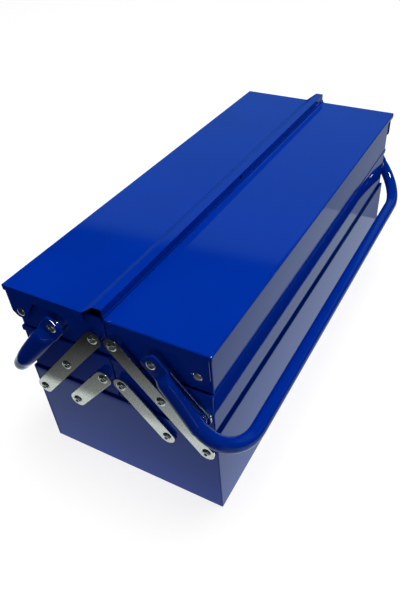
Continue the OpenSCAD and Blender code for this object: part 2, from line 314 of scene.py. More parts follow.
def pull(obj, low, high):
    """Extrudes what is selected and fits the new end into the box from low to high."""
    bpy.ops.mesh.extrude_region_move(TRANSFORM_OT_translate={"value": (0, 0, 0)})
    points = [v.co for v in bmesh.from_edit_mesh(obj.data).verts if v.select]
    now_low = Vector([min(p[i] for p in points) for i in (X, Y, Z)])
    now_high = Vector([max(p[i] for p in points) for i in (X, Y, Z)])
    centre = (now_low + now_high) / 2
    low, high = Vector(low), Vector(high)
    spans = [(high[i] - low[i], now_high[i] - now_low[i]) for i in (X, Y, Z)]
    ratio = [wanted / now if now > FLAT else 1 for wanted, now in spans]
    bpy.ops.transform.resize(value=ratio, center_override=centre)
    bpy.ops.transform.translate(value=(low + high) / 2 - centre)


def slide(move):
    """Extrudes what is selected along move."""
    bpy.ops.mesh.extrude_region_move(TRANSFORM_OT_translate={"value": move})


def round_edges(radius, steps):
    """Rounds the selected edges."""
    bpy.ops.mesh.bevel(
        offset_type="OFFSET",
        offset=radius,
        segments=steps,
        profile=0.5,
        affect="EDGES",
        clamp_overlap=True,
    )


def is_fold(edge, least=SLIGHT_FOLD):
    """True where two faces meet at an angle."""
    return len(edge.link_faces) == 2 and edge.calc_face_angle(0) > least


def apply_modifier(obj, kind, **values):
    """Adds one modifier with these values and applies it."""
    only(obj)
    bpy.ops.object.modifier_add(type=kind)
    modifier = obj.modifiers[-1]
    for name, value in values.items():
        setattr(modifier, name, value)
    bpy.ops.object.modifier_apply(modifier=modifier.name)


def cut(obj, cutter):
    """Cuts the cutter out of obj and removes it."""
    apply_modifier(obj, "BOOLEAN", operation="DIFFERENCE", solver="EXACT", object=cutter)
    only(cutter)
    bpy.ops.object.delete()


def drill(centre, depth, radius, turn=(0, QUARTER, 0)):
    """Round cutter through centre, along X unless it is turned otherwise."""
    only()
    bpy.ops.mesh.primitive_cylinder_add(
        vertices=ROUND_SIDES, radius=radius, depth=depth, location=centre, rotation=turn
    )
    return settle("cutter")


def soften(obj, width, steps=2, angle=50):
    """Rounds the sharp edges a little and gives flat faces flat shading."""
    apply_modifier(
        obj,
        "BEVEL",
        width=width,
        segments=steps,
        limit_method="ANGLE",
        angle_limit=math.radians(angle),
        use_clamp_overlap=True,
    )
    shade(obj, SHEET_SHADING)
    apply_modifier(obj, "WEIGHTED_NORMAL", keep_sharp=True, weight=80)


def shade(obj, degrees):
    """Shades edges up to this angle smooth."""
    only(obj)
    bpy.ops.object.shade_smooth_by_angle(angle=math.radians(degrees))


def outward(obj):
    """Merges doubles and turns every face outward."""
    edit(obj)
    bpy.ops.mesh.remove_doubles(threshold=DOUBLES)
    bpy.ops.mesh.normals_make_consistent(inside=False)
    only(obj)


def copy_of(obj, name, move=(0, 0, 0), half_turn=False):
    """Copy with its own mesh, turned half round the Z axis and then moved."""
    only(obj)
    bpy.ops.object.duplicate(linked=False)
    twin = bpy.context.object
    edit(twin)
    if half_turn:
        bpy.ops.transform.rotate(value=math.pi, orient_axis="Z", center_override=(0, 0, 0))
    bpy.ops.transform.translate(value=move)
    return named(twin, name)


def join(name, pieces):
    """Makes one object of these pieces."""
    only(*pieces)
    if len(pieces) > 1:
        bpy.ops.object.join()
    return named(bpy.context.object, name)


def hand_over(piece, body, slot, material, *nodes):
    """Gives a finished piece its material and body, and hides the nodes that it stands for. The
    slot is not used.
    """
    piece.data.materials.clear()
    piece.data.materials.append(material)
    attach(piece, body)
    if nodes:
        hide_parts(*nodes)


# Finishes


def feed(tree, value, target):
    """Joins an output to an input, or sets the input to a plain value."""
    if isinstance(value, bpy.types.NodeSocket):
        tree.links.new(value, target)
    else:
        target.default_value = value


def node(tree, kind, *in_order, **by_name):
    """New shader node, with values or outputs for its inputs in order or by name."""
    made = tree.nodes.new(f"ShaderNode{kind}")
    for value, target in zip(in_order, made.inputs):
        feed(tree, value, target)
    for name, value in by_name.items():
        feed(tree, value, made.inputs[name])
    return made


def remap(tree, source, low, high, to_low, to_high, smooth_step=False):
    """Maps a value from one range to another."""
    made = node(tree, "MapRange", source, low, high, to_low, to_high)
    made.interpolation_type = "SMOOTHSTEP" if smooth_step else "LINEAR"
    return made.outputs["Result"]


def arithmetic(tree, operation, first, second):
    """Math node; first and second are outputs or numbers."""
    made = node(tree, "Math", first, second)
    made.operation = operation
    return made.outputs["Value"]


def blend(tree, factor, first, second, kind="RGBA"):
    """Mix by a mask; first and second are outputs, colours or, for kind FLOAT, numbers."""
    made = node(tree, "Mix")
    made.data_type = kind
    for name, value in (("Factor", factor), ("A", first), ("B", second)):
        if kind == "RGBA" and not isinstance(value, bpy.types.NodeSocket):
            value = (*value, 1)
        feed(tree, value, made.inputs[name])
    return made.outputs["Result"]


def separate(tree, vector):
    """Outputs X, Y and Z of a vector."""
    return node(tree, "SeparateXYZ", vector).outputs


def choice(tree, factor, first, second):
    """Shader that turns from first to second by a mask."""
    return node(tree, "MixShader", factor, first, second).outputs["Shader"]


def bump(tree, shader, height, strength, distance):
    """Gives the shader a normal from this height."""
    made = node(tree, "Bump", Strength=strength, Distance=distance, Height=height)
    feed(tree, made.outputs["Normal"], shader.inputs["Normal"])


def surface_film():
    """Node group with the orange peel, clouds and specks of a sprayed or plated surface."""
    found = bpy.data.node_groups.get("Surface film")
    if found:
        return found
    tree = bpy.data.node_groups.new("Surface film", "ShaderNodeTree")
    for name, in_out, kind in (
        ("Vector", "INPUT", "NodeSocketVector"),
        ("Peel scale", "INPUT", "NodeSocketFloat"),
        ("Cloud scale", "INPUT", "NodeSocketFloat"),
        ("Height", "OUTPUT", "NodeSocketFloat"),
        ("Cloud", "OUTPUT", "NodeSocketFloat"),
        ("Speck", "OUTPUT", "NodeSocketFloat"),
    ):
        tree.interface.new_socket(name=name, in_out=in_out, socket_type=kind)
    inside = tree.nodes.new("NodeGroupInput").outputs
    outside = tree.nodes.new("NodeGroupOutput").inputs
    place = inside["Vector"]
    peel = node(tree, "TexNoise", Vector=place, Scale=inside["Peel scale"], Detail=1.5)
    cloud = node(tree, "TexNoise", Vector=place, Scale=inside["Cloud scale"], Detail=3.0)
    speck = node(tree, "TexVoronoi", Vector=place, Scale=160.0)
    feed(tree, peel.outputs["Fac"], outside["Height"])
    feed(tree, remap(tree, cloud.outputs["Fac"], 0.35, 0.65, 0, 1), outside["Cloud"])
    feed(tree, remap(tree, speck.outputs["Distance"], 0.03, 0.06, 1, 0), outside["Speck"])
    return tree


def new_material(name):
    """Empty material with a Principled shader, its node tree and the object's coordinates."""
    material = bpy.data.materials.new(name)
    material.use_nodes = True
    tree = material.node_tree
    coordinate = node(tree, "TexCoord").outputs["Object"]
    return material, tree, tree.nodes["Principled BSDF"], coordinate


def film_over(tree, coordinate, peel_scale, cloud_scale):
    """Outputs of the surface film over the object's own coordinates."""
    made = node(tree, "Group")
    made.node_tree = surface_film()
    for value, target in zip((coordinate, peel_scale, cloud_scale), made.inputs):
        feed(tree, value, target)
    return made.outputs


BLACK = (0, 0, 0)
CLOUD_TONES = (0.95, 1.05)  # over the clouds in the enamel
ENAMEL_ROUGHNESS = (0.02, 0.05)  # over the clouds in the enamel
ENAMEL_SPECULAR = 0.2
DUST = (0.05, 0.09, 0.36)
DUST_SHARE = 0.25
RIM_SHADE_FADE = 0.3 * MM  # height over which painted shade darkens the enamel above a rim
RIM_SHADE_SHARE = 0.3  # share of the enamel's colour left under the painted shade


def blue_enamel(name="blue_enamel", depth=1.0, rim=None):
    """Sprayed gloss enamel with orange peel and dust, and painted shade above the height rim."""
    found = bpy.data.materials.get(name)
    if found:
        return found
    material, tree, shader, coordinate = new_material(name)
    base = Vector(bpy.context.scene.tool_box.finish.enamel) * depth
    film = film_over(tree, coordinate, peel_scale=420, cloud_scale=9)
    painted = blend(tree, film["Cloud"], *(base * share for share in CLOUD_TONES))
    dusty = arithmetic(tree, "MULTIPLY", film["Speck"], DUST_SHARE)
    painted = blend(tree, dusty, painted, DUST)
    if rim:
        # Painted shade: the enamel darkens above the height rim, standing in for the shade on the
        # base's recessed ledge
        height = separate(tree, coordinate)["Z"]
        cover = remap(tree, height, rim, rim + RIM_SHADE_FADE, 1, RIM_SHADE_SHARE)
        painted = blend(tree, cover, BLACK, painted)
    feed(tree, painted, shader.inputs["Base Color"])
    roughness = remap(tree, film["Cloud"], 0, 1, *ENAMEL_ROUGHNESS)
    feed(tree, roughness, shader.inputs["Roughness"])
    shader.inputs["Specular IOR Level"].default_value = ENAMEL_SPECULAR
    bump(tree, shader, film["Height"], strength=0.05, distance=0.0003)
    return material


# Platings: scales of grain and spangle, tones and roughness over the spangle, and relief
PLATINGS = {
    "zinc": (900, 700, (0.76, 1.12), (0.05, 0.10), 0.10),
    "rivet": (1500, 200, (0.8, 1.1), (0.08, 0.14), 0.12),
}


def plating(kind):
    """Plating of kind zinc for the links, or rivet for the rivets, washers and spacers."""
    name = f"{kind}_plate"
    found = bpy.data.materials.get(name)
    if found:
        return found
    grain, spangle, tones, roughness, relief = PLATINGS[kind]
    material, tree, shader, coordinate = new_material(name)
    base = Vector(getattr(bpy.context.scene.tool_box.finish, kind))
    film = film_over(tree, coordinate, grain, spangle)
    tone = blend(tree, film["Cloud"], *(base * share for share in tones))
    feed(tree, tone, shader.inputs["Base Color"])
    feed(tree, remap(tree, film["Cloud"], 0, 1, *roughness), shader.inputs["Roughness"])
    shader.inputs["Metallic"].default_value = 1
    bump(tree, shader, film["Height"], relief, distance=0.0002)
    return material


# Pieces


def base_shell(sheet):
    """Folded base with a ledge at its rim and a lap at each corner."""
    low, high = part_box("base_box")
    obj = block("base_shell", low, high)
    edit(obj)
    choose(obj, "FACE", lambda face, c: face.normal.z > LEVEL)
    bpy.ops.mesh.inset(thickness=sheet.ledge, depth=0)
    bpy.ops.mesh.delete(type="FACE")
    choose(obj, "EDGE", lambda edge, c: is_fold(edge))
    round_edges(sheet.base_fold, FOLD_STEPS)
    only(obj)
    apply_modifier(obj, "SOLIDIFY", thickness=sheet.thickness, offset=-1, use_even_offset=True)
    outward(obj)
    soften(obj, sheet.cut_edge)
    laps = []
    margin = sheet.base_fold
    sunk_x = high.x - LAP_SINK
    for x in ENDS.values():
        for y in SIDES.values():
            corner = (x * (high.x + sheet.lap_height), y * (high.y - margin), high.z - margin)
            inner = (x * sunk_x, y * (high.y - sheet.lap), low.z + margin)
            pairs = [sorted(pair) for pair in zip(inner, corner)]
            strip = block("lap", [pair[0] for pair in pairs], [pair[1] for pair in pairs])
            soften(strip, sheet.lap_height * 0.8, steps=3)
            laps.append(strip)
    return join("base_shell", [obj, *laps])


def level_box(source, sheet):
    """Box of a tray's or divider's node, with the line between the levels lowered."""
    low, high = (Vector(corner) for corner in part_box(source))
    moved = high if source.startswith("lower") else low
    moved.z -= sheet.low_rim
    return low, high


def tray(name, source, sheet):
    """Open folded tray with a rolled hem at its outer rim, built around a rear tray node."""
    low, high = level_box(source, sheet)
    wall_x = high.x - sheet.hem_x
    wall_y = high.y - sheet.hem_room
    high.y = wall_y + sheet.hem_y
    hem_z = high.z - sheet.hem_height
    t = sheet.thickness
    obj = block(name, (-wall_x, low.y, low.z), (wall_x, wall_y, hem_z))
    edit(obj)
    choose(
        obj,
        "EDGE",
        lambda edge, c: not near(c.z, hem_z)
        and not near(c.y, low.y)
        and (near(c.z, low.z) or near(c.y, wall_y)),
    )
    round_edges(sheet.fold, FOLD_STEPS)
    choose(obj, "EDGE", lambda edge, c: lies_at(edge, Y, low.y) and near(abs(c.x), wall_x))
    round_edges(sheet.seam_bend, FOLD_STEPS + 1)
    choose(obj, "FACE", lambda face, c: face.normal.z > LEVEL)
    pull(obj, (-high.x, low.y, hem_z), (high.x, high.y, hem_z))
    pull(obj, (-high.x, low.y, high.z), (high.x, high.y, high.z))
    pull(obj, (-wall_x + t, low.y + t, high.z), (wall_x - t, wall_y - t, high.z))
    pull(obj, (-wall_x + t, low.y + t, low.z + t), (wall_x - t, wall_y - t, low.z + t))

    def hem_edge(edge, c):
        outer = abs(c.x) > wall_x + PLAY or c.y > wall_y + PLAY
        level = lies_at(edge, Z, high.z) or lies_at(edge, Z, hem_z)
        return level and outer and is_fold(edge)

    choose(obj, "EDGE", hem_edge)
    round_edges(min(sheet.hem_round, sheet.hem_x * 0.9), FOLD_STEPS)
    outward(obj)
    soften(obj, sheet.cut_edge)
    return obj


def divider(name, low, high, sheet):
    """Upright plate with a foot folded from its lower edge."""
    t = sheet.thickness
    obj = sheet_blank(name, (low.x + t, low.y, low.z + t), (high.x, high.y, low.z + t))
    edit(obj)
    choose(obj, "EDGE", lambda edge, c: near(c.x, low.x + t))
    slide((0, 0, high.z - low.z - t))
    choose(obj, "EDGE", lambda edge, c: is_fold(edge))
    round_edges(t * 0.6, 3)
    outward(obj)
    edit(obj)
    mesh = bmesh.from_edit_mesh(obj.data)
    foot = max(mesh.faces, key=lambda face: abs(face.normal.z))
    if foot.normal.z < 0:
        bpy.ops.mesh.flip_normals()
    apply_modifier(obj, "SOLIDIFY", thickness=t, offset=-1, use_even_offset=True)
    soften(obj, sheet.cut_edge)
    return obj


def flange_and_ear(obj, end_x, inner, outer, side, lid, top, ear_z):
    """Folds one end flange down from the lid and lengthens it into the pivot ear, down to ear_z."""
    hem_z = top - lid.hem
    flange_z = top - lid.flange
    ear_out = outer - side * lid.corner_gap
    ear_in = ear_out - side * lid.ear_top
    chamfer_y = ear_out - side * lid.ear_chamfer
    foot_in = chamfer_y - side * lid.ear_bottom
    chamfer_z = ear_z + lid.ear_chamfer
    share = (flange_z - chamfer_z) / (flange_z - ear_z)
    slant_y = ear_in + (foot_in - ear_in) * share

    def ordered(y0, y1, z):
        return (end_x, min(y0, y1), z), (end_x, max(y0, y1), z)

    def bottom(y0, y1, z):
        choose(
            obj,
            "EDGE",
            lambda edge, c: near(c.x, end_x)
            and lies_at(edge, Z, z)
            and min(y0, y1) < c.y < max(y0, y1),
        )

    bottom(inner, outer, top)
    pull(obj, *ordered(inner, outer, hem_z))
    bottom(inner, ear_out, hem_z)
    pull(obj, *ordered(inner, ear_out, flange_z))
    bottom(ear_in, ear_out, flange_z)
    pull(obj, *ordered(slant_y, ear_out, chamfer_z))
    pull(obj, *ordered(foot_in, chamfer_y, ear_z))


def lid_shell(name, source, side, inner, flange_inner, ridge_points, sheet, lid):
    """Lid folded from a flat blank: outer hem, end flanges with ears and the seam's strip."""
    low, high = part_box(source)
    rear_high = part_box("lid_rear")[1]
    top = rear_high.z - lid.ridge
    outer = side * rear_high.y
    end = high.x
    obj = sheet_blank(name, (-end, min(inner, outer), top), (end, max(inner, outer), top))
    edit(obj)
    ear_out = outer - side * lid.corner_gap
    for y in (ear_out, ear_out - side * lid.ear_top, flange_inner):
        if not near(y, inner):
            bpy.ops.mesh.select_all(action="SELECT")
            bpy.ops.mesh.bisect(plane_co=(0, y, 0), plane_no=(0, 1, 0), threshold=DOUBLES)
    choose(obj, "EDGE", lambda edge, c: near(c.y, outer))
    slide((0, 0, -lid.hem))
    for sign in ENDS.values():
        flange_and_ear(obj, sign * end, flange_inner, outer, side, lid, top, low.z)
    choose(
        obj, "EDGE", lambda edge, c: near(c.y, inner) and near(c.z, top) and near(c.x, 0, end / 2)
    )
    for y, z in ridge_points:
        pull(obj, (-end, y, z), (end, y, z))
    bpy.ops.mesh.select_all(action="SELECT")
    bpy.ops.mesh.remove_doubles(threshold=DOUBLES)
    choose(
        obj,
        "VERT",
        lambda vert, c: near(abs(c.x), end) and c.z < low.z + lid.ear_chamfer + SLACK,
    )
    bpy.ops.mesh.bevel(offset=lid.ear_round, segments=3, affect="VERTICES")
    if len(ridge_points) > 1:
        choose(obj, "EDGE", lambda edge, c: is_fold(edge) and not is_fold(edge, SQUARE_FOLD))
        round_edges(sheet.shallow_fold, 2)
    choose(obj, "EDGE", lambda edge, c: is_fold(edge, SQUARE_FOLD))
    round_edges(lid.fold, FOLD_STEPS + 1)
    only(obj)
    apply_modifier(
        obj,
        "SOLIDIFY",
        thickness=sheet.thickness,
        offset=-1,
        use_even_offset=True,
        use_quality_normals=True,
    )
    outward(obj)
    return obj, end


def turned(name, x, point, profile):
    """Solid turned about an X axis through point: profile lists (distance along X, radius)."""
    start, first = profile[0]
    obj = disc(name, (x + start, point.y, point.z), first, ROUND_SIDES)
    edit(obj)
    for reach, radius in profile[1:]:
        pull(
            obj,
            (x + reach, point.y - radius, point.z - radius),
            (x + reach, point.y + radius, point.z + radius),
        )
    outward(obj)
    shade(obj, RIVET_SHADING)
    return obj


# Outline of a rivet's head and of its hollow: shares of the head's height and of the radius
HEAD_OUTLINE = ((0.28, 1), (0.58, 0.93), (0.84, 0.78), (0.97, 0.62), (1, 0.52))
HOLLOW_OUTLINE = ((0.95, 1.08), (0.75, 0.9), (0.3, 0.78), (0.22, 0.5))


def rivet_profile(hardware, run, head, height, dimple):
    """Clinched end, shank and head with a hollow. run: the wall's inner face to the head."""
    tail, shank = hardware.tail, hardware.shank / 2
    clinch = shank * 1.5
    radius = head / 2
    points = [(-tail, clinch * 0.9), (-tail * 0.85, clinch), (0, clinch)]
    points += [(0, shank), (run, shank), (run, radius)]
    points += [(run + height * up, radius * out) for up, out in HEAD_OUTLINE]
    if dimple:
        points += [(run + height * up, dimple / 2 * out) for up, out in HOLLOW_OUTLINE]
    return points


def rivet_set(name, rivets, hardware):
    """Rivets at both ends of the box: lists (point, wall x, head x, head, height, dimple)."""
    made = []
    for point, wall, head_x, head, height, dimple in rivets:
        flat = Vector((0, point.y, point.z))
        profile = rivet_profile(hardware, head_x - wall, head, height, dimple)
        first = turned("rivet", wall, flat, profile)
        made += [first, copy_of(first, "rivet", (0, 2 * point.y, 0), half_turn=True)]
    return join(name, made)


def flat_link(name, source, start, stop, holes, hardware):
    """Stamped link with round ends from start to stop, at the X place of its node."""
    low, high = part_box(source)
    run = Vector((0, stop.y - start.y, stop.z - start.z))
    tilt = math.atan2(run.z, run.y)
    radius = hardware.link_width / 2
    at = Vector((low.x, start.y, start.z))
    obj = disc(name, at, radius, LINK_SIDES, turn=tilt + math.pi / LINK_SIDES)
    edit(obj)
    choose(obj, "VERT", lambda vert, c: (c - at).dot(run) > 0)
    bpy.ops.transform.translate(value=run)
    bpy.ops.mesh.select_all(action="SELECT")
    thickness = high.x - low.x
    slide((thickness, 0, 0))
    outward(obj)
    middle = at + Vector((thickness / 2, 0, 0))
    for share in holes:
        cut(obj, drill(middle + run * share, thickness + DRILL_OVER, hardware.bore / 2))
    soften(obj, hardware.link_round, steps=3, angle=40)
    return obj


# Handle arm from the bend to the flat end, in millimetres: distance from the pivot, inner and
# outer face, both measured outward from the flat end's inner face, and width.
ARM_SECTIONS = (
    (71.0, 1.35, 16.9, 17.2),
    (66.0, 1.5, 16.1, 18.6),
    (59.0, 1.4, 15.0, 19.8),
    (50.0, 1.2, 13.8, 20.5),
    (40.0, 0.9, 12.6, 20.9),
    (30.0, 0.6, 11.4, 21.0),
    (22.0, 0.3, 10.2, 20.8),
    (18.5, 0.1, 9.0, 20.4),
    (16.0, 0.1, 6.6, 20.0),
)


def handle_tube(name, hardware):
    """Bent tube with pressed flat arms, hanging from its pivots on the rear side."""
    pivot = PIVOTS["rear_handle_pivot"]
    sides = hardware.sides
    radius = hardware.tube / 2
    axis_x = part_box("long_link_rear_right")[1].x + hardware.tube_gap + radius
    flat_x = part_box("arm_washers_rear")[1].x + PLAY
    flat_mid = flat_x + hardware.flat_thickness / 2
    reach, bend = hardware.reach, hardware.bend
    bend_start = reach - bend
    bar_half = axis_x - bend
    arms = []
    for sign in ENDS.values():
        obj = disc("tube", (0, reach, 0), radius, sides, turn=math.pi / sides, fill="NOTHING")
        edit(obj)
        slide((sign * bar_half, 0, 0))
        corner = (sign * bar_half, bend_start, 0)
        bpy.ops.mesh.spin(steps=BEND_STEPS, angle=sign * QUARTER, center=corner, axis=(0, 0, 1))
        for run, inner, outer, width in ARM_SECTIONS:
            faces = sorted((sign * (flat_x + inner * MM), sign * (flat_x + outer * MM)))
            half = width * MM / 2
            pull(obj, (faces[0], run * MM, -half), (faces[1], run * MM, half))
        bpy.ops.mesh.select_all(action="SELECT")
        bpy.ops.mesh.remove_doubles(threshold=DOUBLES)
        obj = join("tube", [obj, pressed_section(sign * flat_mid, hardware)])
        edit(obj)
        ends = (ARM_SECTIONS[-1][0] * MM, hardware.flat_run)
        choose(obj, "EDGE", lambda edge, c: any(lies_at(edge, Y, y) for y in ends))
        bpy.ops.mesh.bridge_edge_loops(number_cuts=3, interpolation="LINEAR")
        choose(obj, "EDGE", lambda edge, c: lies_at(edge, Y, hardware.flat_run))
        slide((0, -hardware.flat_run, 0))
        square_end(obj, sign * flat_mid, hardware)
        arms.append(obj)
    obj = join(name, arms)
    outward(obj)
    edit(obj)
    bpy.ops.transform.rotate(value=hardware.angle, orient_axis="X", center_override=(0, 0, 0))
    bpy.ops.transform.translate(value=(0, pivot.y, pivot.z))
    shade(obj, TUBE_SHADING)
    return obj


def pressed_section(x, hardware):
    """Loop of the pressed tube's section: a flat bar with round edges."""
    thickness = hardware.flat_thickness
    only()
    bpy.ops.mesh.primitive_plane_add(
        size=1, location=(x, hardware.flat_run, 0), rotation=(QUARTER, 0, 0)
    )
    bpy.context.object.scale = (thickness, hardware.flat_width, 1)
    obj = settle("section")
    edit(obj)
    steps = hardware.sides // 4 - 1
    bpy.ops.mesh.bevel(offset=thickness * 0.46, segments=steps, affect="VERTICES")
    bpy.ops.mesh.delete(type="ONLY_FACE")
    only(obj)
    return obj


def square_end(obj, x, hardware):
    """Closes the arm's flat end squarely, with rounded corners, beyond the pivot."""
    half_w = hardware.flat_width / 2
    half_t = hardware.flat_thickness / 2
    corner = hardware.flat_corner
    steps = 5
    for i in range(steps + 1):
        turn = i / steps * QUARTER
        y = -(hardware.flat_end - corner + corner * math.sin(turn))
        w = half_w - corner + corner * math.cos(turn)
        pull(obj, (x - half_t, y, -w), (x + half_t, y, w))
    bpy.ops.mesh.edge_face_add()


# Operators


class TOOLBOX_OT_base(bpy.types.Operator):
    """Models the folded base"""

    bl_idname = "toolbox.base"
    bl_label = "Base"

    def execute(self, context):
        settings = context.scene.tool_box
        piece = base_shell(settings.sheet)
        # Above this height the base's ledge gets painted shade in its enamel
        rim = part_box("base_box")[1].z - settings.sheet.base_fold
        hand_over(piece, "base", "blue_paint", blue_enamel("base_enamel_shaded_ledge", rim=rim), "base_box")
        return {"FINISHED"}


class TOOLBOX_OT_trays(bpy.types.Operator):
    """Models the two lower and two upper trays"""

    bl_idname = "toolbox.trays"
    bl_label = "Trays"

    def execute(self, context):
        sheet = context.scene.tool_box.sheet
        for level in ("lower", "upper"):
            rear = tray(f"{level}_shell_rear", f"{level}_tray_rear", sheet)
            front = copy_of(rear, f"{level}_shell_front", half_turn=True)
            for side, piece in (("rear", rear), ("front", front)):
                body, source = f"{side}_{level}_tray", f"{level}_tray_{side}"
                hand_over(piece, body, "blue_paint", blue_enamel(), source)
        return {"FINISHED"}


class TOOLBOX_OT_dividers(bpy.types.Operator):
    """Models the folded dividers of every tray"""

    bl_idname = "toolbox.dividers"
    bl_label = "Dividers"

    def execute(self, context):
        sheet = context.scene.tool_box.sheet
        for side in SIDES:
            for level, count in (("lower", 1), ("upper", 2)):
                body, source = f"{side}_{level}_tray", f"{level}_dividers_{side}"
                low, high = level_box(source, sheet)
                step = (high.x - sheet.divider_foot - low.x) / max(count - 1, 1)
                plates = []
                for i in range(count):
                    low_corner = Vector((low.x + i * step, low.y, low.z))
                    high_corner = Vector((low_corner.x + sheet.divider_foot, high.y, high.z))
                    plates.append(divider("divider", low_corner, high_corner, sheet))
                piece = join(f"{level}_plates_{side}", plates)
                hand_over(piece, body, "blue_paint", blue_enamel(), source)
        return {"FINISHED"}


class TOOLBOX_OT_lids(bpy.types.Operator):
    """Models both lids with their ears, the ridge and the lip"""

    bl_idname = "toolbox.lids"
    bl_label = "Lids"

    def execute(self, context):
        settings = context.scene.tool_box
        sheet, lid = settings.sheet, settings.lid
        ridge_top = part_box("lid_rear")[1].z
        top = ridge_top - lid.ridge
        crest = lid.ridge_flat - lid.ridge_over
        foot = crest + lid.ridge_ramp
        lip_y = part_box("lid_front")[1].y
        drop_z = top + lid.ridge_lift
        ridge = [(crest, ridge_top), (-lid.ridge_over, ridge_top), (-lid.ridge_over, drop_z)]
        rear, end = lid_shell("lid_cover_rear", "lid_rear", 1, foot, foot, ridge, sheet, lid)
        lock_centre = (0, -lid.ridge_over, (ridge_top + drop_z) / 2)
        cut(rear, drill(lock_centre, LOCK_DRILL, lid.lock_hole / 2, turn=(QUARTER, 0, 0)))
        lip = [(lip_y, top + lid.lip)]
        notch_y = lip_y - lid.notch
        front, end = lid_shell("lid_cover_front", "lid_front", -1, lip_y, notch_y, lip, sheet, lid)
        bore = settings.hardware.bore / 2
        for side, piece in (("rear", rear), ("front", front)):
            pivot = PIVOTS[f"{side}_lid_pivot"]
            for sign in ENDS.values():
                cut(piece, drill((sign * end, pivot.y, pivot.z), EAR_DRILL, bore))
            soften(piece, sheet.cut_edge)
            hand_over(piece, f"{side}_lid", "blue_paint", blue_enamel(), f"lid_{side}")
        return {"FINISHED"}


class TOOLBOX_OT_links(bpy.types.Operator):
    """Models the twelve flat links"""

    bl_idname = "toolbox.links"
    bl_label = "Links"

    def execute(self, context):
        hardware = context.scene.tool_box.hardware
        for side in SIDES:
            base_outer = PIVOTS[f"{side}_swing"]
            base_inner = PIVOTS[f"{side}_short_swing"]
            lower_mid = PIVOTS[f"{side}_lower_level"]
            upper_in = PIVOTS[f"{side}_upper_level"]
            lower_out = PIVOTS[f"{side}_upper_swing"]
            step = lower_mid - base_outer
            runs = {
                "long": (base_outer, upper_in, (0, 0.5, 1)),
                "short": (base_inner, base_inner + step, (0, 1)),
                "upper": (lower_out, lower_out + step, (0, 1)),
            }
            for kind, (start, stop, holes) in runs.items():
                for end in ENDS:
                    source, name = f"{kind}_link_{side}_{end}", f"{kind}_bar_{side}_{end}"
                    piece = flat_link(name, source, start, stop, holes, hardware)
                    hand_over(piece, f"{side}_{kind}_links", "zinc_links", plating("zinc"), source)
        return {"FINISHED"}


class TOOLBOX_OT_rivets(bpy.types.Operator):
    """Models every rivet"""

    bl_idname = "toolbox.rivets"
    bl_label = "Rivets"

    def execute(self, context):
        settings = context.scene.tool_box
        hardware, sheet = settings.hardware, settings.sheet
        t = sheet.thickness
        link_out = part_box("long_link_rear_right")[1].x
        arm_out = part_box("arm_washers_rear")[1].x + PLAY + hardware.flat_thickness
        lid_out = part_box("lid_rear")[1].x
        base_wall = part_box("base_box")[1].x - t
        lower_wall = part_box("lower_tray_rear")[1].x - sheet.hem_x - t
        upper_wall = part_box("upper_tray_rear")[1].x - sheet.hem_x - t
        big = (hardware.head, hardware.head_height, hardware.dimple)
        flat = (hardware.lid_head, hardware.lid_head_height, 0)

        def at(joint, wall, head_x, shape):
            point = PIVOTS[f"{side}_{joint}"] if isinstance(joint, str) else joint
            return (point, wall, head_x + PLAY, *shape)

        base_rivets = []
        for side in SIDES:
            step = PIVOTS[f"{side}_lower_level"] - PIVOTS[f"{side}_swing"]
            short_top = PIVOTS[f"{side}_short_swing"] + step
            base_rivets += [at(p, base_wall, link_out, big) for p in ("swing", "short_swing")]
            lower_points = ("lower_level", short_top, "upper_swing")
            lower = [at(p, lower_wall, link_out, big) for p in lower_points]
            upper = [
                at("upper_level", upper_wall, link_out, big),
                at("handle_pivot", upper_wall, arm_out, big),
            ]
            lids = [at("lid_pivot", upper_wall, lid_out, flat)]
            for kind, rivets, body in (
                ("lower", lower, f"{side}_lower_tray"),
                ("upper", upper, f"{side}_upper_tray"),
                ("lid", lids, f"{side}_upper_tray"),
            ):
                piece = rivet_set(f"{kind}_pins_{side}", rivets, hardware)
                hand_over(piece, body, "zinc_rivets", plating("rivet"), f"{kind}_rivets_{side}")
        piece = rivet_set("base_pins", base_rivets, hardware)
        hand_over(piece, "base", "zinc_rivets", plating("rivet"), "base_rivets")
        return {"FINISHED"}


class TOOLBOX_OT_rings(bpy.types.Operator):
    """Gives the washers and spacers their plating"""

    bl_idname = "toolbox.rings"
    bl_label = "Washers and spacers"

    def execute(self, context):
        for name, ring in NODES.items():
            if "washers" in name or "spacers" in name:
                ring.data.materials.clear()
                ring.data.materials.append(plating("rivet"))
        return {"FINISHED"}


class TOOLBOX_OT_handles(bpy.types.Operator):
    """Models the two bent-tube handles"""

    bl_idname = "toolbox.handles"
    bl_label = "Handles"

    def execute(self, context):
        hardware = context.scene.tool_box.hardware
        rear = handle_tube("handle_tube_rear", hardware)
        front = copy_of(rear, "handle_tube_front", half_turn=True)
        enamel = blue_enamel("handle_enamel", depth=0.88)
        for side, piece in (("rear", rear), ("front", front)):
            hand_over(piece, f"{side}_handle", "handle_paint", enamel, f"handle_{side}")
        return {"FINISHED"}


class TOOLBOX_OT_stage(bpy.types.Operator):
    """Sets up the floor, the light and the camera"""

    bl_idname = "toolbox.stage"
    bl_label = "Floor, light and camera"

    def execute(self, context):
        floor()
        studio_world(context.scene)
        lamps(context.scene)
        camera(context.scene)
        context.scene.view_settings.view_transform = "Standard"
        return {"FINISHED"}
